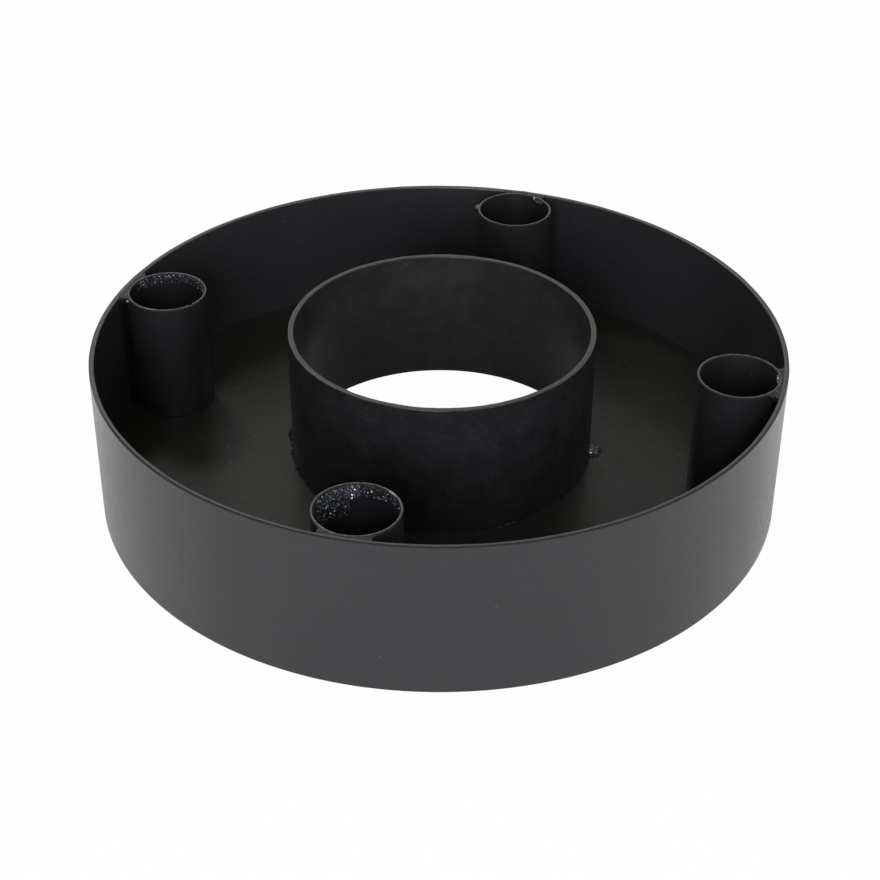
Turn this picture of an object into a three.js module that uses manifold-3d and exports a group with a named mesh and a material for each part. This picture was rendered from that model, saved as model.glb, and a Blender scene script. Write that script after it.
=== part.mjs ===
// Advent candle holder: a round steel tray with a raised floor, an open centre ring and four candle tubes.
// Millimetres, +Z up. The origin is at the centre of the lower edge that the holder stands on.

import * as THREE from 'three';
import { mergeVertices } from 'three/addons/utils/BufferGeometryUtils.js';
import Module from 'manifold-3d';

const wasm = await Module();
wasm.setup();

// Outer wall, a strip rolled into a hoop and closed by one butt weld
const OUTER_RADIUS = 110;
const WALL_HEIGHT = 51.5;
const WALL_THICKNESS = 1.6;
const SEAM_WIDTH = 2;

// Floor plate, raised above the wall's lower edge
const FLOOR_TOP = 10.2;
const FLOOR_THICKNESS = 1.2;
const FLOOR_LEDGE = 0.6;

// Inner ring, standing on the floor plate a little off centre
const RING_RADIUS = 48.9;
const RING_THICKNESS = 1.8;
const RING_HEIGHT = 44.8;
const RING_SHIFT_X = 0.9;
const RING_SHIFT_Y = 1.5;

// Candle tubes, each at its own angle round the tray, in degrees from +X towards +Y
const TUBE_RADIUS = 13.1;
const TUBE_THICKNESS = 1;
const FRONT_TUBE_ANGLE = 256.2;
const RIGHT_TUBE_ANGLE = 347.2;
const BACK_TUBE_ANGLE = 73.7;
const LEFT_TUBE_ANGLE = 161.5;

// Weld beads between tube and wall: width of the crevice where a bead starts and ends, and its depth
const BEAD_ROOT_WIDTH = 1;
const BEAD_FACE_WIDTH = 3.6;
const BEAD_DEPTH = 5;

// Tack welds at the foot of the inner ring and under the floor plate
const RING_TACK_REACH = 2.6;
const RING_TACK_LENGTH = 7;
const RING_TACK_ANGLES = [355.5, 60, 115, 173.5, 240, 297];
const FLOOR_TACK_REACH = 3;
const FLOOR_TACK_LENGTH = 14;
const FLOOR_TACK_COUNT = 8;

// Clearance between pieces that touch
const SEAT_GAP = 0.3;

// Facets round each kind of piece
const HOOP_SEGMENTS = 96;
const TUBE_SEGMENTS = 40;
const BEAD_ARC_STEPS = 4;
const TACK_SEGMENTS = 14;
const TACK_RINGS = 10;

// Sizes that follow from the values above
const WALL_INNER_RADIUS = OUTER_RADIUS - WALL_THICKNESS;
const TUBE_CENTRE_RADIUS = WALL_INNER_RADIUS - SEAT_GAP - TUBE_RADIUS;
const TUBE_BASE = FLOOR_TOP + SEAT_GAP;
const TUBE_ANGLES = {
  front: FRONT_TUBE_ANGLE,
  right: RIGHT_TUBE_ANGLE,
  back: BACK_TUBE_ANGLE,
  left: LEFT_TUBE_ANGLE,
};
const CUT_OVERRUN = WALL_THICKNESS;
const MERGE_TOLERANCE = 1e-4;

const COATS = {
  wall: new THREE.MeshStandardMaterial({ color: 0x232326, roughness: 0.5, metalness: 0 }),
  floor: new THREE.MeshStandardMaterial({ color: 0x23221f, roughness: 0.6, metalness: 0 }),
  tube: new THREE.MeshStandardMaterial({ color: 0x202023, roughness: 0.5, metalness: 0 }),
  weld: new THREE.MeshStandardMaterial({ color: 0x2a2a2c, roughness: 0.4, metalness: 0 }),
};

function radians(degrees) {
  return THREE.MathUtils.degToRad(degrees);
}

function solidFrom(geometry) {
  const plain = geometry.clone();
  plain.deleteAttribute('normal');
  plain.deleteAttribute('uv');
  const merged = mergeVertices(plain, MERGE_TOLERANCE);
  const vertProperties = Float32Array.from(merged.attributes.position.array);
  const triVerts = Uint32Array.from(merged.index.array);
  return new wasm.Manifold(new wasm.Mesh({ numProp: 3, vertProperties, triVerts }));
}

function geometryFrom(solid) {
  const mesh = solid.getMesh();
  const geometry = new THREE.BufferGeometry();
  geometry.setAttribute('position', new THREE.BufferAttribute(mesh.vertProperties, 3));
  geometry.setIndex(new THREE.BufferAttribute(mesh.triVerts, 1));
  geometry.computeVertexNormals();
  return geometry;
}

// A straight-sided ring standing on z = 0
function hoopGeometry(outerRadius, thickness, height, segments) {
  const innerRadius = outerRadius - thickness;
  const profile = [
    new THREE.Vector2(innerRadius, 0),
    new THREE.Vector2(outerRadius, 0),
    new THREE.Vector2(outerRadius, height),
    new THREE.Vector2(innerRadius, height),
    new THREE.Vector2(innerRadius, 0),
  ];
  return new THREE.LatheGeometry(profile, segments).rotateX(Math.PI / 2);
}

// A block through the wall at the seam, behind the back tube
function seamBlock(width) {
  const block = new THREE.BoxGeometry(WALL_THICKNESS + 2 * CUT_OVERRUN, width, WALL_HEIGHT + 2 * CUT_OVERRUN);
  block.translate(OUTER_RADIUS - WALL_THICKNESS / 2, 0, WALL_HEIGHT / 2);
  return solidFrom(block.rotateZ(radians(BACK_TUBE_ANGLE)));
}

function outerWallGeometries() {
  const hoop = solidFrom(hoopGeometry(OUTER_RADIUS, WALL_THICKNESS, WALL_HEIGHT, HOOP_SEGMENTS));
  const slot = seamBlock(SEAM_WIDTH + 2 * SEAT_GAP);
  return {
    wall: geometryFrom(hoop.subtract(slot)),
    seam: geometryFrom(hoop.intersect(seamBlock(SEAM_WIDTH))),
  };
}

// The floor's hole follows the inner ring, and leaves a ledge under the ring's wall
function floorGeometry() {
  const plate = new THREE.Shape();
  plate.absarc(0, 0, WALL_INNER_RADIUS - SEAT_GAP, 0, 2 * Math.PI);
  const hole = new THREE.Path();
  hole.absarc(RING_SHIFT_X, RING_SHIFT_Y, RING_RADIUS - FLOOR_LEDGE, 0, 2 * Math.PI);
  plate.holes.push(hole);
  const curveSegments = HOOP_SEGMENTS / 2;
  return new THREE.ExtrudeGeometry(plate, { depth: FLOOR_THICKNESS, bevelEnabled: false, curveSegments });
}

// Distance from a tube's centre to a circle of the given radius about the tray's centre,
// at an angle from the outward direction
function reachToCircle(radius, angle) {
  const across = TUBE_CENTRE_RADIUS * Math.sin(angle);
  return Math.sqrt(radius * radius - across * across) - TUBE_CENTRE_RADIUS * Math.cos(angle);
}

// Angle at the tube's centre where the crevice between tube and wall is this wide
function creviceAngle(width) {
  const reach = TUBE_RADIUS + width;
  const squares = WALL_INNER_RADIUS ** 2 - TUBE_CENTRE_RADIUS ** 2 - reach ** 2;
  return Math.acos(squares / (2 * TUBE_CENTRE_RADIUS * reach));
}

// A bead that fills the crevice on one side of a tube at angle zero; side is 1 or -1
function beadGeometry(side) {
  const start = creviceAngle(BEAD_ROOT_WIDTH);
  const end = creviceAngle(BEAD_FACE_WIDTH);
  const alongTube = [];
  const alongWall = [];
  for (let step = 0; step <= BEAD_ARC_STEPS; step += 1) {
    const angle = THREE.MathUtils.lerp(start, end, step / BEAD_ARC_STEPS);
    const direction = new THREE.Vector2(Math.cos(angle), side * Math.sin(angle));
    const centre = new THREE.Vector2(TUBE_CENTRE_RADIUS, 0);
    alongTube.push(centre.clone().addScaledVector(direction, TUBE_RADIUS + SEAT_GAP));
    const wallReach = reachToCircle(WALL_INNER_RADIUS - SEAT_GAP, angle);
    alongWall.push(centre.clone().addScaledVector(direction, wallReach));
  }
  const outline = new THREE.Shape([...alongTube, ...alongWall.reverse()]);
  return new THREE.ExtrudeGeometry(outline, { depth: BEAD_DEPTH, bevelEnabled: false });
}

// A quarter of an ellipsoid in the corner between an upright face at x = 0 and a flat face at z = 0
function tackGeometry(reach, length) {
  const blob = new THREE.SphereGeometry(1, TACK_SEGMENTS, TACK_RINGS).scale(reach, length / 2, reach);
  const corner = new THREE.BoxGeometry(2 * reach, 2 * length, 2 * reach);
  corner.translate(reach + SEAT_GAP, 0, reach + SEAT_GAP);
  return geometryFrom(solidFrom(blob).intersect(solidFrom(corner)));
}

function piece(name, geometry, material) {
  const mesh = new THREE.Mesh(geometry, material);
  mesh.name = name;
  return mesh;
}

const holder = new THREE.Group();

const outerWall = outerWallGeometries();
holder.add(piece('outer_wall', outerWall.wall, COATS.wall));
holder.add(piece('outer_wall_seam_weld', outerWall.seam, COATS.weld));

const floorPlate = piece('floor_plate', floorGeometry(), COATS.floor);
floorPlate.position.z = FLOOR_TOP - FLOOR_THICKNESS;
holder.add(floorPlate);

const ringGroup = new THREE.Group();
ringGroup.position.set(RING_SHIFT_X, RING_SHIFT_Y, FLOOR_TOP);
holder.add(ringGroup);

const ringGeometry = hoopGeometry(RING_RADIUS, RING_THICKNESS, RING_HEIGHT - SEAT_GAP, HOOP_SEGMENTS);
const innerRing = piece('inner_ring', ringGeometry, COATS.wall);
innerRing.position.z = SEAT_GAP;
ringGroup.add(innerRing);

const ringTack = tackGeometry(RING_TACK_REACH, RING_TACK_LENGTH);
RING_TACK_ANGLES.forEach((angle, index) => {
  const turn = new THREE.Group();
  turn.rotation.z = radians(angle);
  const tack = piece(`ring_tack_weld_${index + 1}`, ringTack, COATS.weld);
  tack.position.x = RING_RADIUS;
  turn.add(tack);
  ringGroup.add(turn);
});

const tubeGeometry = hoopGeometry(TUBE_RADIUS, TUBE_THICKNESS, WALL_HEIGHT - TUBE_BASE, TUBE_SEGMENTS);
const beads = [beadGeometry(1), beadGeometry(-1)];
for (const [place, angle] of Object.entries(TUBE_ANGLES)) {
  const turn = new THREE.Group();
  turn.rotation.z = radians(angle);
  const tube = piece(`candle_tube_${place}`, tubeGeometry, COATS.tube);
  tube.position.set(TUBE_CENTRE_RADIUS, 0, TUBE_BASE);
  turn.add(tube);
  beads.forEach((geometry, index) => {
    const bead = piece(`tube_weld_${place}_${index + 1}`, geometry, COATS.weld);
    bead.position.z = WALL_HEIGHT - BEAD_DEPTH;
    turn.add(bead);
  });
  holder.add(turn);
}

// The tacks under the floor lie upside down in the corner below it, reaching inwards from the wall
const floorTack = tackGeometry(FLOOR_TACK_REACH, FLOOR_TACK_LENGTH);
for (let index = 0; index < FLOOR_TACK_COUNT; index += 1) {
  const turn = new THREE.Group();
  turn.rotation.z = (2 * Math.PI * (index + 0.5)) / FLOOR_TACK_COUNT;
  const tack = piece(`floor_tack_weld_${index + 1}`, floorTack, COATS.weld);
  tack.rotation.y = Math.PI;
  tack.position.set(WALL_INNER_RADIUS, 0, FLOOR_TOP - FLOOR_THICKNESS);
  turn.add(tack);
  holder.add(turn);
}

export default holder;
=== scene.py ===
"""Advent candle holder in black powder-coated steel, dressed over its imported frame. Metres, +Z up."""
import math
import random

import bmesh
import bpy
from mathutils import Matrix, Vector, noise


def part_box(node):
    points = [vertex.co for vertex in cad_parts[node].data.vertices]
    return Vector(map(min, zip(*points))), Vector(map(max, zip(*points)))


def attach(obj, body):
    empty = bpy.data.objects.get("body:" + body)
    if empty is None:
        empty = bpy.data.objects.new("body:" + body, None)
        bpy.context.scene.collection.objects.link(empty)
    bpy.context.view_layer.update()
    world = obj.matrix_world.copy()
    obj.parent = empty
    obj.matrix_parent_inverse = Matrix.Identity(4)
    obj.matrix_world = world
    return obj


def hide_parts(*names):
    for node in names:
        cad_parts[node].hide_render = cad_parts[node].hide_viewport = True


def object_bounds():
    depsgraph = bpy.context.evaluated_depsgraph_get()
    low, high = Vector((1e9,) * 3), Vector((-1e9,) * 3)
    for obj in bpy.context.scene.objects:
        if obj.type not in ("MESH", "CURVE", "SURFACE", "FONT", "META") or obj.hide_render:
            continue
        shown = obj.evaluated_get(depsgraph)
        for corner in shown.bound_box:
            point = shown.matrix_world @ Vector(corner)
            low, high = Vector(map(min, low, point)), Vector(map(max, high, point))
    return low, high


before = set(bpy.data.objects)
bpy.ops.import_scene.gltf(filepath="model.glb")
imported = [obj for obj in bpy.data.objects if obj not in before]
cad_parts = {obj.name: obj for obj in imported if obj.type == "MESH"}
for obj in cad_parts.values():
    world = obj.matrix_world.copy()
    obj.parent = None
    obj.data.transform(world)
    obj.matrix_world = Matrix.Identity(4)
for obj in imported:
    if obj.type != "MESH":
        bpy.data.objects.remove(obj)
cad_low, cad_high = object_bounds()

MM = 0.001
FULL_TURN = 2 * math.pi
ORIGIN = Vector((0, 0, 0))

# How far each step of a seed moves the noise along the three axes
SEED_STEPS = (1, 2.7, 1.3)

# Sockets of a mix node that carry colours
COLOUR_INPUTS = (6, 7)
COLOUR_OUTPUT = 2

# Camera, as fitted to the photograph's outline and rims
CAMERA_DISTANCE = 0.6294
CAMERA_ELEVATION = 34.71
CAMERA_ROLL = 0.30
AIM_RIGHT = 0.04
AIM_UP = 0.98
FOCAL_PIXELS = 1892.4
FRAME_PIXELS = 880
SENSOR_MM = 36.0
CLIP_START = 0.01

# Studio: share of plain white that camera and gloss rays see, and the soft lamps
WORLD_LIGHT = 0.10
WORLD_TINT = (1.0, 0.955, 0.87, 1)
WORLD_GLOSS_SHARE = 0.6
HORIZON_GLOSS_SHARE = 0.95
SWEEP_TOP = 0.7
FRONT_GLOSS_SHARE = 0.12
FRONT_SPAN = (-0.45, 0.25)
TABLE_CAMERA_SHARE = 0.985
TABLE_PAINT = (0.9, 0.9, 0.9, 1)
TABLE_ROUGH = 0.9
TABLE_HALF = 4.0
HOLE_GLOSS_SHARE = 0.1
HOLE_FADE = 1.3
FOOT_SHADE_REACH = 60 * MM
FOOT_SHADE_SPAN = (-110 * MM, -30 * MM)
FOOT_SHADE_FRONT = 0.25
FOOT_SHADE_BACK = 0.54
LAMPS = (
    ("front_panel", (-0.2, -1.4, 0.58), (0.7, 0.85), 18, (0.94, 0.96, 1.0)),
    ("front_left_panel", (-1.0, -1.0, 0.28), (0.5, 0.35), 1.2, (0.92, 0.95, 1.0)),
    ("front_right_panel", (1.05, -0.75, 0.40), (0.4, 0.4), 2.4, (0.92, 0.95, 1.0)),
    ("high_right_key", (0.60, -0.70, 0.95), (0.15, 0.15), 2, (0.92, 0.95, 1.0)),
    ("back_left_edge", (-0.41, 0.70, 1.0), (0.2, 0.2), 2.5, (1.0, 0.97, 0.92)),
)

# Sizes read from the frame
WALL_LOW, WALL_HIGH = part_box("outer_wall")
OUTER_RADIUS = (WALL_HIGH.x - WALL_LOW.x) / 2
WALL_TOP = WALL_HIGH.z
FLOOR_LOW, FLOOR_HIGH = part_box("floor_plate")
FLOOR_TOP = FLOOR_HIGH.z
FLOOR_UNDER = FLOOR_LOW.z
RING_LOW, RING_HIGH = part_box("inner_ring")
RING_CENTRE = (RING_LOW + RING_HIGH) / 2
RING_RADIUS = (RING_HIGH.x - RING_LOW.x) / 2
RING_TOP = RING_HIGH.z
PLACES = ("front", "right", "back", "left")
TUBE_BOXES = {place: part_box("candle_tube_" + place) for place in PLACES}
TUBE_CENTRES = {place: (low + high) / 2 for place, (low, high) in TUBE_BOXES.items()}
TUBE_RADIUS = max(high.x - low.x for low, high in TUBE_BOXES.values()) / 2

# Sheet thicknesses and edge roundings
WALL_THICKNESS = 1.6 * MM
RING_THICKNESS = 1.8 * MM
TUBE_THICKNESS = 1.0 * MM
FLOOR_LEDGE = 0.6 * MM
FLOOR_TUCK = 0.3 * MM
FLOOR_EDGE = 0.4 * MM
WALL_EDGE = 0.35 * MM
WALL_TOP_EDGES = (0.32 * MM, 0.4 * MM)
TUBE_EDGE = 0.42 * MM
RIM_DEPTH = 0.8 * MM
WALL_INNER = OUTER_RADIUS - WALL_THICKNESS
BORE_RADIUS = TUBE_RADIUS - TUBE_THICKNESS

# Unevenness of the rolled hoops: how much in the radius and in the top edge, and the first seed of each
WALL_WOBBLES = (0.12 * MM, 0.08 * MM)
RING_WOBBLES = (0.1 * MM, 0.08 * MM)
TUBE_WOBBLES = (0.04 * MM, 0.07 * MM)
WALL_SEED = 0
RING_SEED = 20
TUBE_SEED = 40

# Waves of that unevenness, per turn and per metre, and what each adds to the seed
ROLL_WAVES = (1.6, 18)
EDGE_WAVES = (9, 0)
SIDE_WAVES = (14, 900)
FILE_WAVES = (24, 2500)
EDGE_SEED = 5
SIDE_SEED = 9
FILE_SEED = 13
FILE_MARKS = 0.5

# Facets
WALL_SEGMENTS = 384
TUBE_SEGMENTS = 288
CORNER_STEPS = 4
SIDE_STEPS = 10
FLOOR_SIDE_STEPS = 2

# Weld webs between tube and wall: how far each runs from the contact line, at the tube and at the wall
WEB_REACHES = {
    ("front", 1): (8.9, 9.1),
    ("front", -1): (8.6, 9.2),
    ("right", 1): (7.8, 9.4),
    ("right", -1): (8.9, 11.0),
    ("back", 1): (7.4, 8.4),
    ("back", -1): (8.0, 8.8),
    ("left", 1): (8.3, 10.3),
    ("left", -1): (7.5, 10.6),
}
WEB_DEPTH = 5.0 * MM
WEB_LIFT = -0.14 * MM
WEB_SCALLOP = 0.9 * MM
WEB_ROUNDING = 0.5 * MM
WEB_ROUND_SHARE = 0.06
WEB_UNDERCUT = 0.42
WEB_UNDERCUT_POWER = 1.6
WEB_LAYERS = 14
WEB_TOP_STEPS = 14
WEB_FACE_STEPS = 14

# Lumps of the webs: height, lumps per mm and what is added to the seed
WEB_FACE_LUMPS = (0.7 * MM, 0.8, 0)
WEB_TOP_LUMPS = (0.2 * MM, 0.55, 7)
WEB_FINE_LUMPS = (0.07 * MM, 1.6, 9)
WEB_FACE_POWER = 4
WEB_END_DROP = 0.12 * MM
WEB_END_POWER = 6

# Spatter inside the bores: angles from the wall side, depths below the rim in mm, count, largest size in mm
SPATTER = {
    "front": (
        (193, 213, 0.4, 4.4, 210, 0.50),
        (206, 264, 0.5, 10.5, 430, 0.46),
        (150, 193, 0.4, 4.2, 70, 0.46),
        (112, 150, 0.4, 4.0, 40, 0.42),
    ),
    "left": ((215, 350, 0.3, 3.4, 420, 0.28), (150, 215, 0.3, 1.6, 40, 0.24)),
    "right": ((7, 20, 0.4, 2.8, 70, 0.42), (40, 330, 0.5, 9.0, 8, 0.30)),
    "back": ((318, 338, 0.2, 1.2, 40, 0.40), (40, 318, 0.5, 9.0, 8, 0.25)),
}
SPATTER_SMALL = 0.10 * MM
SPATTER_DEPTH_POWER = 1.5
SMALL_SIZE_POWER = 2
CHIP_SIDES = 6
CHIP_RINGS = ((1.0, -0.4), (0.98, 0.3), (0.74, 1.0))
CHIP_TILT = (-0.3, 0.9)
CHIP_SWAY = 0.35
CHIP_RISE = (0.3, 0.7)

# Rings of a round drop of metal: share of its size and of its height
LUMP_SIDES = 9
LUMP_RINGS = ((1.0, -0.35), (0.98, 0.15), (0.8, 0.6), (0.45, 0.9))

# Nick in the left tube's rim, from its wall side
NICK_ANGLE = 153.2
NICK_HALF_WIDTH = 2.6
NICK_DEPTH = 0.55 * MM

# Flat ground on the inner edge of the front tube's rim
FLAT_ANGLE = 36.6
FLAT_HALF_WIDTH = 8.5
FLAT_START = TUBE_RADIUS - 0.08 * MM
FLAT_SLOPE = 0.268

# Tack welds at the ring's foot, in the order of their nodes: length, reach and rise in mm, and roughness
RING_TACKS = (
    (5.0, 3.4, 1.7, 1.0),
    (6.5, 1.6, 1.3, 0.6),
    (6.5, 1.6, 1.3, 0.6),
    (8.5, 1.7, 1.2, 1.0),
    (6.5, 1.2, 1.0, 0.6),
    (6.5, 1.0, 0.8, 0.6),
)
RING_TACK_SEED = 60
SHINY_TACK = 0

# Grains of weld and paint along the ring's foot: angles, count, and largest size in mm
FOOT_GRAINS = ((178, 222, 130, 0.55), (222, 262, 26, 0.35), (262, 284, 26, 0.4), (284, 346, 150, 0.42))
FOOT_GRAIN_SMALL = 0.14 * MM
FOOT_GRAIN_SEED = 7
FOOT_GRAIN_LEAN = (0.2, 1.0)
FOOT_GRAIN_RISE = (0.5, 1.0)

# Weld drops on the tubes: angle from the wall side, depth below the rim and size in mm
TUBE_DROPS = {
    "back": ((92.0, 0.9, 0.85), (97.0, 0.7, 0.7), (87.5, 1.0, 0.7)),
    "left": ((27.0, 0.6, 0.55), (31.0, 0.8, 0.60), (35.0, 0.9, 0.65), (39.0, 1.3, 0.55)),
    "right": ((-27.0, 0.6, 0.50), (-32.0, 0.8, 0.60), (-37.0, 1.1, 0.55)),
}
# The left and right drops are painted pale bluish grey, far lighter than the paint round them
DROP_COATS = {"back": "drop_coat", "left": "pale_drop_coat", "right": "pale_drop_coat"}
DROP_STRETCH = 1.6

# Lumps of weld inside the bores, painted near white as a painted highlight: angle from the wall side, depth
# below the rim and size in mm
BORE_GLINT_LUMPS = {
    "right": ((19.0, 0.8, 0.28), (14.5, 1.0, 0.48), (11.5, 1.3, 0.50), (8.5, 1.7, 0.45)),
    "back": ((338.5, 0.45, 0.42), (330.0, 0.9, 0.22)),
}
FLECK_RISE = 0.7
FLECK_TILT = 0.8

# Tack welds under the floor
FLOOR_TACK_LENGTH = 13.0 * MM
FLOOR_TACK_REACH = 2.7 * MM
FLOOR_TACK_RISE = 2.5 * MM
FLOOR_TACK_ROUGH = 0.3
FLOOR_TACK_SEED = 90

# Fillets of weld: how deep they sink in, their steps, the swelling from end to middle, and their lumps per mm
BEAD_SINK = 0.35 * MM
BEAD_CURVE_STEPS = 14
BEAD_STEP = 0.2 * MM
BEAD_LEAST_STEPS = 8
BEAD_END = 0.12
BEAD_SWELL_POWER = 0.6
BEAD_ROUND_POWER = 0.9
BEAD_LUMPS = 0.9
BEAD_FINE_LUMPS = 1.6
BEAD_FINE_SHARE = 0.35
BEAD_FINE_SEED = 3

# Seam weld of the wall
SEAM_HALF_WIDTH = 1.3 * MM
SEAM_CROWN = 0.22 * MM
SEAM_SINK = 0.06 * MM
SEAM_RIPPLE = 0.06 * MM
SEAM_RIPPLE_PITCH = 1.3 * MM
SEAM_STEP = 0.4 * MM
SEAM_END_STEPS = 4
SEAM_ACROSS = 8

# Textures of the paint: scale, detail and roughness of each noise, and the span of it that is used
COAT_CLOUDS = 45
RING_CLOUDS = 160
WELD_CLOUDS = 600
CLOUD_DETAIL = (5, 0.6)
CLOUD_SPAN = (0.35, 0.65)
GRAIN_NOISE = (1300, 2, 0.5)
GRAIN_SPAN = (0.25, 0.75)
GLOSS_NOISE = (260, 4, 0.6)
GLOSS_SPAN = (0.3, 0.7)
GLOSS_SPREAD = 0.12
PEEL_NOISE = (1700, 3, 0.55)
PEEL_HEIGHT = 0.06 * MM
DUST_SCALE = 620
DUST_SPAN = (0.10, 0.26)
PALE_DUST = (0.11, 0.11, 0.105, 1)

# Wear of the rims: how level a worn face is, its patches and scuffs, and the bare band of the wall's rim
RIM_LEVEL = (0.68, 0.92)
WALL_RIM_LEVEL = (0.35, 0.75)
TUBE_RIM_LEVEL = (0.93, 0.98)
WEAR_NOISE = (420, 5, 0.7)
WEAR_SPAN = (0.32, 0.62, 0.3, 1)
SCUFF_NOISE = (1500, 2, 0.6)
SCUFF_SPAN = (0.36, 0.56, 0.35, 1)
INNER_BAND = (OUTER_RADIUS - 0.75 * MM, OUTER_RADIUS - 0.55 * MM)

# Dull paint along the wall's near rim and on the edges of the tubes' rims
DULL_ROUGH = 0.95
DULL_HEIGHTS = (WALL_TOP - 0.45 * MM, WALL_TOP - 0.3 * MM)
DULL_DEPTHS = (-55 * MM, -30 * MM)
TUBE_DULL_HEIGHTS = (WALL_TOP - 0.45 * MM, WALL_TOP - 0.35 * MM)
TUBE_DULL_LEVEL = (0.90, 0.95)

# Worn rims: height, how level, colour and roughness
WALL_RIM = (WALL_TOP, WALL_RIM_LEVEL, (0.070, 0.067, 0.055, 1), 0.34)
RING_RIM = (RING_TOP, RIM_LEVEL, (0.060, 0.058, 0.047, 1), 0.38)
TUBE_RIM = (WALL_TOP, TUBE_RIM_LEVEL, (0.16, 0.156, 0.14, 1), 0.2)
WEB_RIM = (WALL_TOP, RIM_LEVEL, (0.032, 0.031, 0.026, 1), 0.4)
# Inner face of the wall: the same paint about twice as light as the outer face, painted light for the light
# the inside does not get
WALL_INSIDE_PAINTED_LIGHT = ((0.0215, 0.0213, 0.0240, 1), (0.027, 0.0267, 0.0298, 1))


def rounded_corner(centre_r, centre_z, radius, start):
    """Points of a quarter circle in the r, z plane, from the start angle on, anticlockwise."""
    points = []
    for step in range(CORNER_STEPS + 1):
        angle = math.radians(start + 90 * step / CORNER_STEPS)
        points.append((centre_r + radius * math.cos(angle), centre_z + radius * math.sin(angle)))
    return points


def straight(start, end, steps):
    """Points between two ends, without the ends."""
    points = []
    for step in range(1, steps):
        part = step / steps
        points.append((start[0] + (end[0] - start[0]) * part, start[1] + (end[1] - start[1]) * part))
    return points


def hoop_profile(inner, outer, low, high, edge, steps, top_edges=None):
    """Closed outline of a sheet standing on edge, anticlockwise from its lower outer corner."""
    outer_top, inner_top = top_edges or (edge, edge)
    corners = [
        rounded_corner(outer - edge, low + edge, edge, 270),
        rounded_corner(outer - outer_top, high - outer_top, outer_top, 0),
        rounded_corner(inner + inner_top, high - inner_top, inner_top, 90),
        rounded_corner(inner + edge, low + edge, edge, 180),
    ]
    sides = (steps, 1, steps, 1)
    outline = []
    for index, corner in enumerate(corners):
        following = corners[(index + 1) % len(corners)]
        outline += corner + straight(corner[-1], following[0], sides[index])
    return outline


def make_object(name, vertices, faces):
    """A smooth closed mesh with its faces turned outward."""
    mesh = bpy.data.meshes.new(name)
    mesh.from_pydata([tuple(vertex) for vertex in vertices], [], faces)
    shell = bmesh.new()
    shell.from_mesh(mesh)
    bmesh.ops.recalc_face_normals(shell, faces=shell.faces)
    shell.to_mesh(mesh)
    shell.free()
    mesh.polygons.foreach_set("use_smooth", [True] * len(mesh.polygons))
    piece = bpy.data.objects.new(name, mesh)
    bpy.context.scene.collection.objects.link(piece)
    return piece


def keep_flats(piece):
    """Shades wide faces flat between their rounded edges."""
    weighted = piece.modifiers.new("flat faces stay flat", "WEIGHTED_NORMAL")
    weighted.keep_sharp = True


def skin(name, sections, closed):
    """Skins equal closed sections in order; the last meets the first, or both ends are capped."""
    count = len(sections[0])
    vertices = [spot for section in sections for spot in section]
    faces = []
    joins = len(sections) if closed else len(sections) - 1
    for step in range(joins):
        here = step * count
        there = (step + 1) % len(sections) * count
        for index in range(count):
            after = (index + 1) % count
            faces.append((here + index, there + index, there + after, here + after))
    if not closed:
        end = (len(sections) - 1) * count
        faces.append(tuple(range(count)))
        faces.append(tuple(reversed(range(end, end + count))))
    return make_object(name, vertices, faces)


def level_direction(angle):
    return Vector((math.cos(angle), math.sin(angle), 0))


def raised(height):
    return Vector((0, 0, height))


def level_part(spot):
    return Vector((spot.x, spot.y, 0))


def lathe(name, profile, centre, segments, shape):
    """A closed ring of the profile turned round a vertical axis; shape moves each point."""
    middle = level_part(centre)
    sections = []
    for segment in range(segments):
        angle = FULL_TURN * segment / segments
        section = []
        for radius, height in profile:
            radius, height = shape(angle, radius, height)
            section.append(middle + level_direction(angle) * radius + raised(height))
        sections.append(section)
    piece = skin(name, sections, True)
    keep_flats(piece)
    return piece


def wave(angle, height, per_turn, per_metre, seed):
    """Smooth noise round a ring, between about -1 and 1."""
    spot = Vector((math.cos(angle) * per_turn, math.sin(angle) * per_turn, height * per_metre + seed))
    return noise.noise(spot)


def lumps(spot, per_mm, seed):
    """Smooth noise in space, between about -1 and 1."""
    shift = Vector([seed * step for step in SEED_STEPS])
    return noise.noise(spot / MM * per_mm + shift)


def hand_rolled(wobbles, top, seed):
    """Slight unevenness of a rolled and ground hoop: its radius along the turn, and its top edge."""
    radius_wobble, edge_wobble = wobbles

    def shape(angle, radius, height):
        radius += radius_wobble * wave(angle, height, *ROLL_WAVES, seed)
        if height > top - RIM_DEPTH:
            height += edge_wobble * wave(angle, 0, *EDGE_WAVES, seed + EDGE_SEED)
            radius += edge_wobble * wave(angle, radius, *SIDE_WAVES, seed + SIDE_SEED)
            height += edge_wobble * FILE_MARKS * wave(angle, radius, *FILE_WAVES, seed + FILE_SEED)
        return radius, height
    return shape


def degrees_off(angle, middle):
    """How far an angle in radians is from one in degrees, between -180 and 180."""
    return (math.degrees(angle) - middle + 180) % 360 - 180


def nicked(shape, nick_angle, top):
    """The same hoop with a small nick in its top edge."""
    def shape_with_nick(angle, radius, height):
        radius, height = shape(angle, radius, height)
        off = degrees_off(angle, nick_angle)
        if abs(off) < NICK_HALF_WIDTH and height > top - NICK_DEPTH:
            height = min(height, top - NICK_DEPTH * math.cos(off / NICK_HALF_WIDTH * math.pi / 2))
        return radius, height
    return shape_with_nick


def ground_flat(shape, flat_angle, top):
    """The same hoop with a short slope ground on the inner edge of its rim."""
    def shape_with_flat(angle, radius, height):
        radius, height = shape(angle, radius, height)
        if abs(degrees_off(angle, flat_angle)) < FLAT_HALF_WIDTH:
            height = min(height, top - max(0, FLAT_START - radius) * FLAT_SLOPE)
        return radius, height
    return shape_with_flat


def finish_piece(piece, nodes, material):
    piece.data.materials.append(material)
    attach(piece, "root")
    if nodes:
        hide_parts(*nodes)


def node_link(tree, start, start_socket, end, end_socket):
    tree.links.new(start.outputs[start_socket], end.inputs[end_socket])


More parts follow.
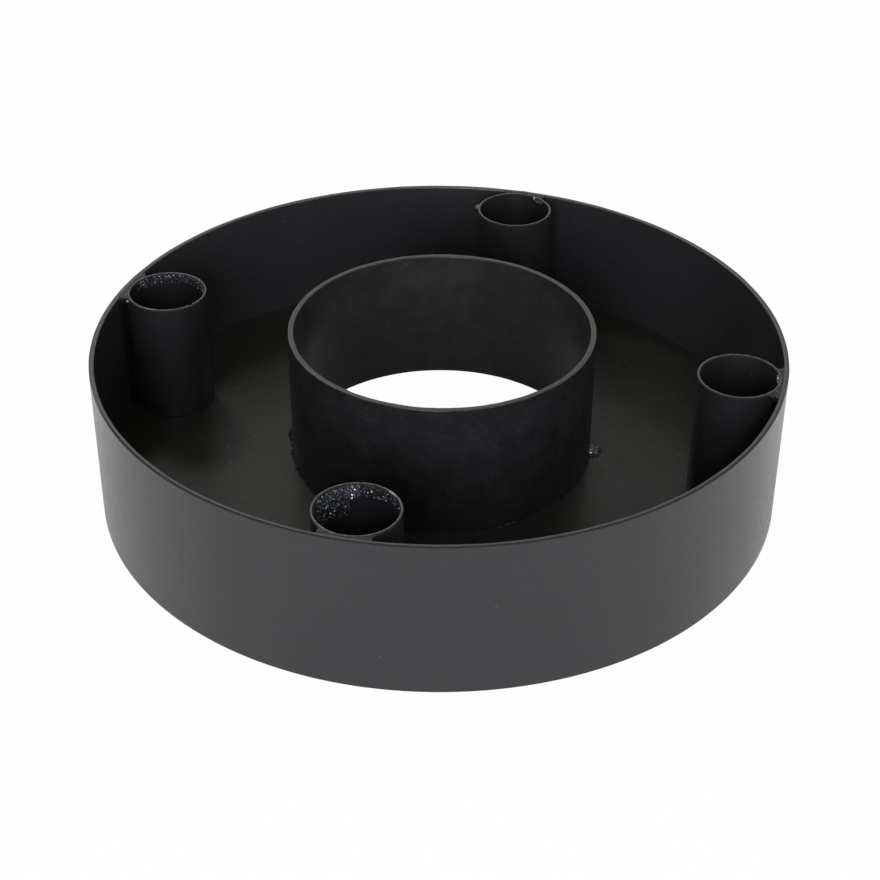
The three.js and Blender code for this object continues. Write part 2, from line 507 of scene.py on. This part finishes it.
def axes_node(tree, place, socket):
    """Splits a position, normal or direction into its three axes."""
    split = tree.nodes.new("ShaderNodeSeparateXYZ")
    node_link(tree, place, socket, split, "Vector")
    return split


def noise_node(tree, place, scale, detail, roughness):
    texture = tree.nodes.new("ShaderNodeTexNoise")
    texture.inputs["Scale"].default_value = scale
    texture.inputs["Detail"].default_value = detail
    texture.inputs["Roughness"].default_value = roughness
    node_link(tree, place, "Object", texture, "Vector")
    return texture


def range_node(tree, source, socket, low, high, to_low, to_high):
    span = tree.nodes.new("ShaderNodeMapRange")
    span.inputs["From Min"].default_value = low
    span.inputs["From Max"].default_value = high
    span.inputs["To Min"].default_value = to_low
    span.inputs["To Max"].default_value = to_high
    node_link(tree, source, socket, span, "Value")
    return span


def times(tree, first, first_socket, second, second_socket):
    product = tree.nodes.new("ShaderNodeMath")
    product.operation = "MULTIPLY"
    node_link(tree, first, first_socket, product, 0)
    node_link(tree, second, second_socket, product, 1)
    return product


def mix_colour(tree, factor, factor_socket, first, second):
    """Goes from the first colour to the second; each is a plain colour or another mix."""
    mix = tree.nodes.new("ShaderNodeMix")
    mix.data_type = "RGBA"
    node_link(tree, factor, factor_socket, mix, "Factor")
    for socket, value in zip(COLOUR_INPUTS, (first, second)):
        if isinstance(value, tuple):
            mix.inputs[socket].default_value = value
        else:
            node_link(tree, value, COLOUR_OUTPUT, mix, socket)
    return mix


def mix_roughness(tree, factor, factor_socket, first, second):
    """Goes from a roughness node's result to a plain roughness where the factor is 1."""
    mix = tree.nodes.new("ShaderNodeMix")
    node_link(tree, factor, factor_socket, mix, "Factor")
    node_link(tree, first, "Result", mix, "A")
    mix.inputs["B"].default_value = second
    return mix


def dust_mask(tree, place, share):
    """Sparse round specks: the middles of a share of small cells."""
    grain = tree.nodes.new("ShaderNodeTexVoronoi")
    grain.inputs["Scale"].default_value = DUST_SCALE
    node_link(tree, place, "Object", grain, "Vector")
    dot = range_node(tree, grain, "Distance", *DUST_SPAN, 1, 0)
    channel = tree.nodes.new("ShaderNodeSeparateColor")
    node_link(tree, grain, "Color", channel, "Color")
    chosen = range_node(tree, channel, "Red", 1 - share, 1, 0, 1)
    return times(tree, dot, "Result", chosen, "Result")


def rim_mask(tree, place, height, level_span):
    """The ground top face between its rounded edges, worn unevenly where it is level enough."""
    spot = axes_node(tree, place, "Object")
    high = range_node(tree, spot, "Z", height - RIM_DEPTH, height - RIM_DEPTH / 2, 0, 1)
    facing = axes_node(tree, place, "Normal")
    flat = range_node(tree, facing, "Z", *level_span, 0, 1)
    wear = range_node(tree, noise_node(tree, place, *WEAR_NOISE), "Fac", *WEAR_SPAN)
    scuffed = range_node(tree, noise_node(tree, place, *SCUFF_NOISE), "Fac", *SCUFF_SPAN)
    face = times(tree, high, "Result", flat, "Result")
    uneven = times(tree, wear, "Result", scuffed, "Result")
    return times(tree, face, "Value", uneven, "Value")


def axis_distance(tree, place):
    """Distance of the surface from the holder's upright axis."""
    flat = tree.nodes.new("ShaderNodeVectorMath")
    flat.operation = "MULTIPLY"
    flat.inputs[1].default_value = (1, 1, 0)
    node_link(tree, place, "Object", flat, 0)
    from_axis = tree.nodes.new("ShaderNodeVectorMath")
    from_axis.operation = "LENGTH"
    node_link(tree, flat, "Vector", from_axis, 0)
    return from_axis


def painted_light_inside_mask(tree, place):
    """The inward side of the outer wall, whose paint takes a lighter tone there as painted light."""
    from_axis = axis_distance(tree, place)
    return range_node(tree, from_axis, "Value", WALL_INNER + WALL_EDGE, OUTER_RADIUS - WALL_EDGE, 1, 0)


def inner_band_mask(tree, place):
    """The bare inner band of the wall's rim; its outer part keeps its paint."""
    return range_node(tree, axis_distance(tree, place), "Value", *INNER_BAND, 1, 0)


def outer_edge_mask(tree, place):
    """Dull, dirty paint along the outer edge of the wall's rim, in its near part."""
    outer = range_node(tree, axis_distance(tree, place), "Value", *INNER_BAND, 0, 1)
    spot = axes_node(tree, place, "Object")
    high = range_node(tree, spot, "Z", *DULL_HEIGHTS, 0, 1)
    near = range_node(tree, spot, "Y", *DULL_DEPTHS, 1, 0)
    edge = times(tree, outer, "Result", high, "Result")
    return times(tree, edge, "Value", near, "Result"), "Value"


def tube_edge_mask(tree, place):
    """Dull paint on the rounded edges of the tubes' rims, where they tilt away from level."""
    high = range_node(tree, axes_node(tree, place, "Object"), "Z", *TUBE_DULL_HEIGHTS, 0, 1)
    tilted = range_node(tree, axes_node(tree, place, "Normal"), "Z", *TUBE_DULL_LEVEL, 1, 0)
    return times(tree, high, "Result", tilted, "Result"), "Value"


def peel_bump(tree, place, shader, strength):
    """Orange peel of the paint."""
    bump = tree.nodes.new("ShaderNodeBump")
    bump.inputs["Strength"].default_value = strength
    bump.inputs["Distance"].default_value = PEEL_HEIGHT
    node_link(tree, noise_node(tree, place, *PEEL_NOISE), "Fac", bump, "Height")
    node_link(tree, bump, "Normal", shader, "Normal")


def coat_material(
    name, dark, light, roughness, shine, peel, specks, rim=None, clouds=COAT_CLOUDS, inside=None,
    dull_mask=None,
):
    """Powder coat: cloudy, grainy colour, sparse specks, orange-peel bump, uneven gloss and a worn rim."""
    material = bpy.data.materials.new(name)
    material.use_nodes = True
    tree = material.node_tree
    shader = tree.nodes["Principled BSDF"]
    shader.inputs["Specular IOR Level"].default_value = shine
    place = tree.nodes.new("ShaderNodeTexCoord")
    cloud = range_node(tree, noise_node(tree, place, clouds, *CLOUD_DETAIL), "Fac", *CLOUD_SPAN, 0, 1)
    grain = range_node(tree, noise_node(tree, place, *GRAIN_NOISE), "Fac", *GRAIN_SPAN, 0, 1)
    patches = times(tree, cloud, "Result", grain, "Result")
    tone = mix_colour(tree, patches, "Value", dark, light)
    # The wall's inner face is painted lighter than its outer face: painted light
    if inside:
        painted_light_inner_tone = mix_colour(tree, patches, "Value", *inside)
        tone = mix_colour(tree, painted_light_inside_mask(tree, place), "Result", tone, painted_light_inner_tone)
    smooth = roughness * (1 - GLOSS_SPREAD)
    rough = roughness * (1 + GLOSS_SPREAD)
    gloss = range_node(tree, noise_node(tree, place, *GLOSS_NOISE), "Fac", *GLOSS_SPAN, smooth, rough)
    if rim:
        top, level_span, rim_colour, rim_roughness = rim
        worn = rim_mask(tree, place, top, level_span)
        if inside:
            worn = times(tree, worn, "Value", inner_band_mask(tree, place), "Result")
        if dull_mask:
            gloss = mix_roughness(tree, *dull_mask(tree, place), gloss, DULL_ROUGH)
        tone = mix_colour(tree, worn, "Value", tone, rim_colour)
        gloss = mix_roughness(tree, worn, "Value", gloss, rim_roughness)
    node_link(tree, gloss, "Result", shader, "Roughness")
    colour = mix_colour(tree, dust_mask(tree, place, specks), "Value", tone, PALE_DUST)
    node_link(tree, colour, COLOUR_OUTPUT, shader, "Base Color")
    peel_bump(tree, place, shader, peel)
    return material


def make_coats():
    """The same black paint with each surface's gloss and wear, lighter inside the wall as painted light,
    paler weld drops, and painted glints.
    """
    coats = {
        "wall_coat": dict(
            dark=(0.010, 0.0099, 0.0126, 1), light=(0.0145, 0.0144, 0.0178, 1), roughness=0.27, shine=0.6,
            peel=0.03, specks=0.004, rim=WALL_RIM, inside=WALL_INSIDE_PAINTED_LIGHT, dull_mask=outer_edge_mask,
        ),
        "ring_coat": dict(
            dark=(0.0115, 0.0114, 0.0127, 1), light=(0.025, 0.0247, 0.0272, 1), roughness=0.35, shine=0.5,
            peel=0.5, specks=0.006, rim=RING_RIM, clouds=RING_CLOUDS,
        ),
        "floor_coat": dict(
            dark=(0.0160, 0.0149, 0.0119, 1), light=(0.0222, 0.0206, 0.0166, 1), roughness=0.36, shine=0.28,
            peel=0.2, specks=0.1,
        ),
        "tube_coat": dict(
            dark=(0.0105, 0.0105, 0.0118, 1), light=(0.016, 0.016, 0.0177, 1), roughness=0.36, shine=0.5,
            peel=0.3, specks=0.004, rim=TUBE_RIM, dull_mask=tube_edge_mask,
        ),
        "weld_coat": dict(
            dark=(0.006, 0.006, 0.0068, 1), light=(0.030, 0.030, 0.033, 1), roughness=0.45, shine=0.25,
            peel=0.6, specks=0.01, rim=WEB_RIM, clouds=WELD_CLOUDS,
        ),
        "spatter_coat": dict(
            dark=(0.030, 0.033, 0.045, 1), light=(0.060, 0.066, 0.088, 1), roughness=0.15, shine=1.0,
            peel=0.3, specks=0.0,
        ),
        "drop_coat": dict(
            dark=(0.050, 0.049, 0.042, 1), light=(0.105, 0.102, 0.090, 1), roughness=0.35, shine=0.5,
            peel=0.5, specks=0.0, clouds=WELD_CLOUDS,
        ),
        "pale_drop_coat": dict(
            dark=(0.050, 0.051, 0.066, 1), light=(0.190, 0.192, 0.235, 1), roughness=0.25, shine=0.8,
            peel=0.5, specks=0.0, clouds=WELD_CLOUDS,
        ),
        # Near-white paint on the lumps in the bores: a painted highlight
        "painted_glint_coat": dict(
            dark=(0.42, 0.42, 0.395, 1), light=(0.78, 0.78, 0.74, 1), roughness=0.3, shine=0.6,
            peel=0.3, specks=0.0, clouds=WELD_CLOUDS,
        ),
    }
    return {name: coat_material(name, **settings) for name, settings in coats.items()}


def place_camera():
    elevation = math.radians(CAMERA_ELEVATION)
    eye = Vector((0, -math.cos(elevation), math.sin(elevation))) * CAMERA_DISTANCE
    forward = -eye.normalized()
    right = Vector((1, 0, 0))
    up = right.cross(forward)
    forward = (forward + right * math.radians(AIM_RIGHT) + up * math.radians(AIM_UP)).normalized()
    right = forward.cross(up).normalized()
    up = right.cross(forward)
    roll = math.radians(CAMERA_ROLL)
    turned_right = right * math.cos(roll) + up * math.sin(roll)
    turned_up = up * math.cos(roll) - right * math.sin(roll)
    data = bpy.data.cameras.new("camera")
    data.sensor_width = SENSOR_MM
    data.lens = FOCAL_PIXELS / FRAME_PIXELS * SENSOR_MM
    data.clip_start = CLIP_START
    camera = bpy.data.objects.new("camera", data)
    turn = Matrix((turned_right, turned_up, -forward)).transposed().to_4x4()
    camera.matrix_world = Matrix.Translation(eye) @ turn
    bpy.context.scene.collection.objects.link(camera)
    bpy.context.scene.camera = camera


def seen_share(tree, camera_share, gloss_share, gloss_socket):
    """How much of the plain white background a ray sees: camera rays, then gloss and glass, else none."""
    path = tree.nodes.new("ShaderNodeLightPath")
    gloss = tree.nodes.new("ShaderNodeMath")
    gloss.operation = "MAXIMUM"
    node_link(tree, path, "Is Glossy Ray", gloss, 0)
    node_link(tree, path, "Is Transmission Ray", gloss, 1)
    share = times(tree, gloss, "Value", gloss_share, gloss_socket)
    total = tree.nodes.new("ShaderNodeMath")
    total.operation = "MULTIPLY_ADD"
    total.inputs[1].default_value = camera_share
    node_link(tree, path, "Is Camera Ray", total, 0)
    node_link(tree, share, "Value", total, 2)
    return total


def mix_shaders(tree, share, first, second, output):
    mix = tree.nodes.new("ShaderNodeMixShader")
    node_link(tree, share, "Value", mix, 0)
    node_link(tree, first, 0, mix, 1)
    node_link(tree, second, 0, mix, 2)
    node_link(tree, mix, 0, output, "Surface")


def light_world():
    """Dim warm light all round; gloss sees a white sweep behind that fades with height and to the front."""
    world = bpy.data.worlds.new("studio")
    world.use_nodes = True
    bpy.context.scene.world = world
    tree = world.node_tree
    lighting = tree.nodes["Background"]
    lighting.inputs["Color"].default_value = WORLD_TINT
    lighting.inputs["Strength"].default_value = WORLD_LIGHT
    seen = tree.nodes.new("ShaderNodeBackground")
    seen.inputs["Color"].default_value = (1, 1, 1, 1)
    seen.inputs["Strength"].default_value = 1
    direction = axes_node(tree, tree.nodes.new("ShaderNodeTexCoord"), "Generated")
    sweep = range_node(tree, direction, "Z", 0.0, SWEEP_TOP, HORIZON_GLOSS_SHARE, WORLD_GLOSS_SHARE)
    front = range_node(tree, direction, "Y", *FRONT_SPAN, FRONT_GLOSS_SHARE, 1)
    share = seen_share(tree, 1.0, times(tree, sweep, "Result", front, "Result"), "Value")
    mix_shaders(tree, share, lighting, seen, tree.nodes["World Output"])


def table_material():
    """White table with a faint shadow: mostly an even white to the camera, and shaded within the ring."""
    material = bpy.data.materials.new("table")
    material.use_nodes = True
    tree = material.node_tree
    paint = tree.nodes["Principled BSDF"]
    paint.inputs["Base Color"].default_value = TABLE_PAINT
    paint.inputs["Roughness"].default_value = TABLE_ROUGH
    paint.inputs["Specular IOR Level"].default_value = 0
    white = tree.nodes.new("ShaderNodeEmission")
    white.inputs["Strength"].default_value = 1
    place = tree.nodes.new("ShaderNodeTexCoord")
    from_axis = axis_distance(tree, place)
    hole_edge = (RING_RADIUS, RING_RADIUS * HOLE_FADE)
    outside_hole = range_node(tree, from_axis, "Value", *hole_edge, HOLE_GLOSS_SHARE, 1)
    near_foot = range_node(tree, from_axis, "Value", OUTER_RADIUS, OUTER_RADIUS + FOOT_SHADE_REACH, 1, 0)
    spot = axes_node(tree, place, "Object")
    behind = range_node(tree, spot, "Y", *FOOT_SHADE_SPAN, FOOT_SHADE_FRONT, FOOT_SHADE_BACK)
    foot_shade = times(tree, near_foot, "Result", behind, "Result")
    lit = range_node(tree, foot_shade, "Value", 0, 1, 1, 0)
    gloss_share = times(tree, outside_hole, "Result", lit, "Result")
    share = seen_share(tree, TABLE_CAMERA_SHARE, gloss_share, "Value")
    mix_shaders(tree, share, paint, white, tree.nodes["Material Output"])
    return material


def make_table():
    corners = [(-TABLE_HALF, -TABLE_HALF, 0), (TABLE_HALF, -TABLE_HALF, 0)]
    corners += [(TABLE_HALF, TABLE_HALF, 0), (-TABLE_HALF, TABLE_HALF, 0)]
    mesh = bpy.data.meshes.new("table")
    mesh.from_pydata(corners, [], [(0, 1, 2, 3)])
    table = bpy.data.objects.new("table", mesh)
    bpy.context.scene.collection.objects.link(table)
    table.data.materials.append(table_material())


def light_studio():
    """Soft lamps, all turned to the middle of the object."""
    aim = (cad_low + cad_high) / 2
    for name, position, size, power, tint in LAMPS:
        data = bpy.data.lights.new(name, "AREA")
        data.shape = "RECTANGLE"
        data.size, data.size_y = size
        data.energy = power
        data.color = tint
        lamp = bpy.data.objects.new(name, data)
        lamp.location = position
        lamp.rotation_mode = "QUATERNION"
        lamp.rotation_quaternion = (aim - Vector(position)).to_track_quat("-Z", "Y")
        bpy.context.scene.collection.objects.link(lamp)


def build_hoops(coats):
    wall_outline = hoop_profile(
        WALL_INNER, OUTER_RADIUS, WALL_LOW.z, WALL_TOP, WALL_EDGE, SIDE_STEPS, WALL_TOP_EDGES
    )
    wall_shape = hand_rolled(WALL_WOBBLES, WALL_TOP, WALL_SEED)
    wall = lathe("outer_wall_hoop", wall_outline, ORIGIN, WALL_SEGMENTS, wall_shape)
    finish_piece(wall, ["outer_wall"], coats["wall_coat"])
    ring_outline = hoop_profile(
        RING_RADIUS - RING_THICKNESS, RING_RADIUS, FLOOR_TOP, RING_TOP, WALL_EDGE, SIDE_STEPS
    )
    ring_shape = hand_rolled(RING_WOBBLES, RING_TOP, RING_SEED)
    ring = lathe("inner_ring_hoop", ring_outline, RING_CENTRE, WALL_SEGMENTS, ring_shape)
    finish_piece(ring, ["inner_ring"], coats["ring_coat"])


def build_floor(coats):
    """The floor's hole follows the ring, so its inner edge is set off centre."""
    hole = RING_RADIUS - FLOOR_LEDGE
    rim = WALL_INNER + FLOOR_TUCK
    profile = hoop_profile(hole, rim, FLOOR_UNDER, FLOOR_TOP, FLOOR_EDGE, FLOOR_SIDE_STEPS)
    middle = (hole + rim) / 2
    hole_shift = level_part(RING_CENTRE)
    sections = []
    for segment in range(WALL_SEGMENTS):
        direction = level_direction(FULL_TURN * segment / WALL_SEGMENTS)
        section = []
        for radius, height in profile:
            spot = direction * radius + raised(height)
            section.append(spot + hole_shift if radius < middle else spot)
        sections.append(section)
    floor = skin("floor_plate_sheet", sections, True)
    keep_flats(floor)
    finish_piece(floor, ["floor_plate"], coats["floor_coat"])


def tube_angle(place):
    """Direction from the middle of the holder through a tube to the wall that it touches."""
    return math.atan2(TUBE_CENTRES[place].y, TUBE_CENTRES[place].x)


def build_tubes(coats):
    outline = hoop_profile(BORE_RADIUS, TUBE_RADIUS, FLOOR_TOP, WALL_TOP, TUBE_EDGE, SIDE_STEPS)
    for index, place in enumerate(PLACES):
        shape = hand_rolled(TUBE_WOBBLES, WALL_TOP, TUBE_SEED + index)
        if place == "left":
            shape = nicked(shape, math.degrees(tube_angle(place)) + NICK_ANGLE, WALL_TOP)
        if place == "front":
            shape = ground_flat(shape, FLAT_ANGLE, WALL_TOP)
        tube = lathe("tube_" + place, outline, TUBE_CENTRES[place], TUBE_SEGMENTS, shape)
        finish_piece(tube, ["candle_tube_" + place], coats["tube_coat"])


def web_outline():
    """Lengthwise section of a web: share of its reach and depth below the rim, from the contact line."""
    outline = []
    for step in range(WEB_TOP_STEPS + 1):
        outline.append((step / WEB_TOP_STEPS * (1 - WEB_ROUND_SHARE), 0.0))
    for step in range(1, CORNER_STEPS + 1):
        turn = math.pi / 2 * step / CORNER_STEPS
        share = 1 - WEB_ROUND_SHARE + WEB_ROUND_SHARE * math.sin(turn)
        outline.append((share, WEB_ROUNDING * (1 - math.cos(turn))))
    for step in range(1, WEB_FACE_STEPS + 1):
        part = step / WEB_FACE_STEPS
        depth = WEB_ROUNDING + (WEB_DEPTH - WEB_ROUNDING) * part
        outline.append((1 - WEB_UNDERCUT * part ** WEB_UNDERCUT_POWER, depth))
    for step in range(1, CORNER_STEPS + 1):
        outline.append(((1 - WEB_UNDERCUT) * (1 - step / CORNER_STEPS), WEB_DEPTH))
    return outline


def web_lumps(spot, kind, seed):
    """One of the three kinds of lumps on a web, in metres."""
    height, per_mm, seed_step = kind
    return height * lumps(spot, per_mm, seed + seed_step)


def build_web(place, side, seed):
    """Weld metal flush with the rims, filling the crevice between a tube and the wall on one side."""
    outward = level_direction(tube_angle(place))
    along = Vector((-outward.y, outward.x, 0))
    tube_middle = TUBE_RADIUS - TUBE_THICKNESS / 2
    wall_middle = OUTER_RADIUS - WALL_THICKNESS / 2
    centre_reach = math.hypot(TUBE_CENTRES[place].x, TUBE_CENTRES[place].y)
    reach_tube, reach_wall = (reach * MM for reach in WEB_REACHES[(place, side)])
    sections = []
    for layer in range(WEB_LAYERS + 1):
        part = layer / WEB_LAYERS
        bulge = math.sin(math.pi * part)
        reach = reach_tube + (reach_wall - reach_tube) * part - WEB_SCALLOP * bulge
        section = []
        for share, depth in web_outline():
            sideways = share * reach
            tube_side = centre_reach + math.sqrt(tube_middle ** 2 - sideways ** 2)
            wall_side = math.sqrt(wall_middle ** 2 - sideways ** 2)
            out = tube_side + (wall_side - tube_side) * part
            spot = outward * out + along * side * sideways + raised(WALL_TOP + WEB_LIFT - depth)
            face_lump = share ** WEB_FACE_POWER * web_lumps(spot, WEB_FACE_LUMPS, seed)
            spot += along * side * bulge * face_lump
            end_drop = WEB_END_DROP * share ** WEB_END_POWER
            spot.z += bulge * (web_lumps(spot, WEB_TOP_LUMPS, seed) - end_drop)
            spot.z += bulge * web_lumps(spot, WEB_FINE_LUMPS, seed)
            section.append(spot)
        sections.append(section)
    return skin("weld_web_%s_%d" % (place, seed), sections, False)


def build_webs(coats):
    seed = 0
    for place in PLACES:
        for number, side in ((1, 1), (2, -1)):
            seed += 1
            web = build_web(place, side, seed)
            finish_piece(web, ["tube_weld_%s_%d" % (place, number)], coats["weld_coat"])


def stack_rings(spot, up, size, tall, turn, rings, sides, vertices, faces):
    """Adds a base, rings and the bands between them; returns where the last ring starts."""
    across = up.orthogonal().normalized()
    beside = up.cross(across)
    first = len(vertices)
    for wide, high in rings:
        for step in range(sides):
            angle = turn + FULL_TURN * step / sides
            offset = (across * math.cos(angle) + beside * math.sin(angle)) * size * wide
            vertices.append(spot + offset + up * tall * high)
    for ring in range(len(rings) - 1):
        for step in range(sides):
            here = first + ring * sides + step
            beyond = first + ring * sides + (step + 1) % sides
            faces.append((here, beyond, beyond + sides, here + sides))
    faces.append(tuple(reversed(range(first, first + sides))))
    return first + (len(rings) - 1) * sides


def lump(spot, up, size, tall, vertices, faces):
    """Adds a small closed drop of metal that stands on a surface."""
    last = stack_rings(spot, up, size, tall, 0, LUMP_RINGS, LUMP_SIDES, vertices, faces)
    vertices.append(spot + up * tall)
    top = len(vertices) - 1
    for step in range(LUMP_SIDES):
        faces.append((last + step, last + (step + 1) % LUMP_SIDES, top))


def chip(spot, up, size, tall, turn, vertices, faces):
    """Adds a flat-topped speck of metal with a few sides."""
    last = stack_rings(spot, up, size, tall, turn, CHIP_RINGS, CHIP_SIDES, vertices, faces)
    faces.append(tuple(range(last, last + CHIP_SIDES)))


def speck_size(smallest, largest, draw):
    """Draws a size; small ones are more common."""
    return smallest + (largest - smallest) * draw.random() ** SMALL_SIZE_POWER


def build_spatter(coats):
    """Specks of weld metal under the paint inside each bore, thickest near the welds."""
    for seed, place in enumerate(PLACES):
        draw = random.Random(seed)
        start = tube_angle(place)
        middle = level_part(TUBE_CENTRES[place])
        vertices = []
        faces = []
        for low_angle, high_angle, low_depth, high_depth, count, largest in SPATTER[place]:
            for _ in range(count):
                direction = level_direction(start + math.radians(draw.uniform(low_angle, high_angle)))
                depth = low_depth + (high_depth - low_depth) * draw.random() ** SPATTER_DEPTH_POWER
                size = speck_size(SPATTER_SMALL, largest * MM, draw)
                spot = middle + direction * BORE_RADIUS + raised(WALL_TOP - depth * MM - size)
                tilt = raised(draw.uniform(*CHIP_TILT))
                sway = level_direction(draw.uniform(0, FULL_TURN)) * CHIP_SWAY
                up = (-direction + tilt + sway).normalized()
                turn = draw.uniform(0, FULL_TURN)
                chip(spot, up, size, size * draw.uniform(*CHIP_RISE), turn, vertices, faces)
        piece = make_object("bore_spatter_" + place, vertices, faces)
        piece.data.polygons.foreach_set("use_smooth", [False] * len(piece.data.polygons))
        finish_piece(piece, [], coats["spatter_coat"])


def bead(name, centre, radius, height, middle_angle, length, reach, rise, rough, seed):
    """A lumpy fillet of weld along an arc; a negative reach or rise turns it inward or downward."""
    half = length / 2 / radius
    count = max(BEAD_LEAST_STEPS, round(length / BEAD_STEP))
    base = level_part(centre) + raised(height)
    sink_r = math.copysign(BEAD_SINK, reach)
    sink = raised(math.copysign(BEAD_SINK, rise))
    sections = []
    for step in range(count + 1):
        part = step / count
        direction = level_direction(middle_angle - half + 2 * half * part)
        swell = BEAD_END + (1 - BEAD_END) * math.sin(math.pi * part) ** BEAD_SWELL_POWER
        swell *= 1 + rough * lumps(direction * radius, BEAD_LUMPS, seed)
        fine_height = rough * BEAD_FINE_SHARE * abs(reach)
        section = []
        for turn_step in range(BEAD_CURVE_STEPS + 1):
            turn = math.pi / 2 * turn_step / BEAD_CURVE_STEPS
            out = reach * swell * math.sin(turn) ** BEAD_ROUND_POWER
            up = rise * swell * math.cos(turn) ** BEAD_ROUND_POWER
            spot = base + direction * (radius + out) + raised(up)
            fine = lumps(spot, BEAD_FINE_LUMPS, seed + BEAD_FINE_SEED) * math.sin(2 * turn)
            section.append(spot + direction * fine_height * fine)
        section.append(base + direction * (radius + reach * swell) - sink)
        section.append(base + direction * (radius - sink_r) - sink)
        section.append(base + direction * (radius - sink_r) + raised(rise * swell))
        sections.append(section)
    return skin(name, sections, False)


def node_angle(node, centre):
    low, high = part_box(node)
    middle = (low + high) / 2
    return math.atan2(middle.y - centre.y, middle.x - centre.x)


def build_ring_tacks(coats):
    for index, (length, reach, rise, rough) in enumerate(RING_TACKS):
        node = "ring_tack_weld_%d" % (index + 1)
        angle = node_angle(node, RING_CENTRE)
        tack = bead(
            "foot_tack_%d" % (index + 1), RING_CENTRE, RING_RADIUS, FLOOR_TOP, angle,
            length * MM, reach * MM, rise * MM, rough, RING_TACK_SEED + index,
        )
        coat = "spatter_coat" if index == SHINY_TACK else "weld_coat"
        finish_piece(tack, [node], coats[coat])


def build_foot_grains(coats):
    """Grains of weld and paint caught along the near foot of the ring."""
    draw = random.Random(FOOT_GRAIN_SEED)
    middle = level_part(RING_CENTRE)
    vertices = []
    faces = []
    for low_angle, high_angle, count, largest in FOOT_GRAINS:
        for _ in range(count):
            direction = level_direction(math.radians(draw.uniform(low_angle, high_angle)))
            size = speck_size(FOOT_GRAIN_SMALL, largest * MM, draw)
            spot = middle + direction * (RING_RADIUS + size * draw.random()) + raised(FLOOR_TOP)
            up = (direction * draw.uniform(*FOOT_GRAIN_LEAN) + raised(1)).normalized()
            lump(spot, up, size, size * draw.uniform(*FOOT_GRAIN_RISE), vertices, faces)
    piece = make_object("ring_foot_grains", vertices, faces)
    finish_piece(piece, [], coats["weld_coat"])


def tube_lumps(name, place, rows, radius, side, tilt, stretch):
    """Drops of metal on a tube's outer face, side 1, or in its bore, side -1, turned up by the tilt."""
    start = tube_angle(place)
    middle = level_part(TUBE_CENTRES[place])
    vertices = []
    faces = []
    for turn, depth, size in rows:
        direction = level_direction(start + math.radians(turn))
        spot = middle + direction * radius + raised(WALL_TOP - depth * MM)
        up = (direction * side + raised(tilt)).normalized()
        lump(spot, up, size * MM, size * stretch * MM, vertices, faces)
    return make_object(name, vertices, faces)


def build_tube_drops(coats):
    """Drops of weld that stuck to the outside of the tubes, just under the rim."""
    for place, rows in TUBE_DROPS.items():
        piece = tube_lumps("tube_drop_" + place, place, rows, TUBE_RADIUS, 1, 0, DROP_STRETCH)
        finish_piece(piece, [], coats[DROP_COATS[place]])


def build_bore_glint_lumps(coats):
    """Lumps of weld just inside two of the bores, painted near white as a painted highlight."""
    for place, rows in BORE_GLINT_LUMPS.items():
        piece = tube_lumps("bore_glint_lump_" + place, place, rows, BORE_RADIUS, -1, FLECK_TILT, FLECK_RISE)
        finish_piece(piece, [], coats["painted_glint_coat"])


def build_floor_tacks(coats):
    """Tack welds under the floor, where the wall holds it."""
    tacks = sorted(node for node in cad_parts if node.startswith("floor_tack_weld_"))
    for index, node in enumerate(tacks):
        tack = bead(
            "under_tack_%d" % (index + 1), ORIGIN, WALL_INNER, FLOOR_UNDER, node_angle(node, ORIGIN),
            FLOOR_TACK_LENGTH, -FLOOR_TACK_REACH, -FLOOR_TACK_RISE, FLOOR_TACK_ROUGH,
            FLOOR_TACK_SEED + index,
        )
        finish_piece(tack, [node], coats["weld_coat"])


def build_seam(coats):
    """The weld that closes the rolled wall: a low crowned bead inside and out, with fine ripples."""
    low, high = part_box("outer_wall_seam_weld")
    middle_angle = node_angle("outer_wall_seam_weld", ORIGIN)
    steps = round((high.z - low.z) / SEAM_STEP)
    sections = []
    for step in range(steps + 1):
        height = low.z + (high.z - low.z) * step / steps
        ripple = SEAM_RIPPLE * math.sin(FULL_TURN * height / SEAM_RIPPLE_PITCH)
        ends = min(1, step / SEAM_END_STEPS, (steps - step) / SEAM_END_STEPS)
        section = []
        for face_radius, sense in ((OUTER_RADIUS, 1), (WALL_INNER, -1)):
            for index in range(SEAM_ACROSS + 1):
                across = (index / SEAM_ACROSS * 2 - 1) * sense
                crown = (SEAM_CROWN + ripple) * ends * (1 - across ** 2) - SEAM_SINK
                angle = middle_angle + across * SEAM_HALF_WIDTH / OUTER_RADIUS
                section.append(level_direction(angle) * (face_radius + sense * crown) + raised(height))
        sections.append(section)
    seam = skin("wall_seam_bead", sections, False)
    finish_piece(seam, ["outer_wall_seam_weld"], coats["weld_coat"])


def main():
    bpy.context.scene.view_settings.view_transform = "Standard"
    place_camera()
    light_world()
    make_table()
    light_studio()
    coats = make_coats()
    build_hoops(coats)
    build_floor(coats)
    build_tubes(coats)
    build_webs(coats)
    build_spatter(coats)
    build_ring_tacks(coats)
    build_foot_grains(coats)
    build_tube_drops(coats)
    build_bore_glint_lumps(coats)
    build_floor_tacks(coats)
    build_seam(coats)


main()
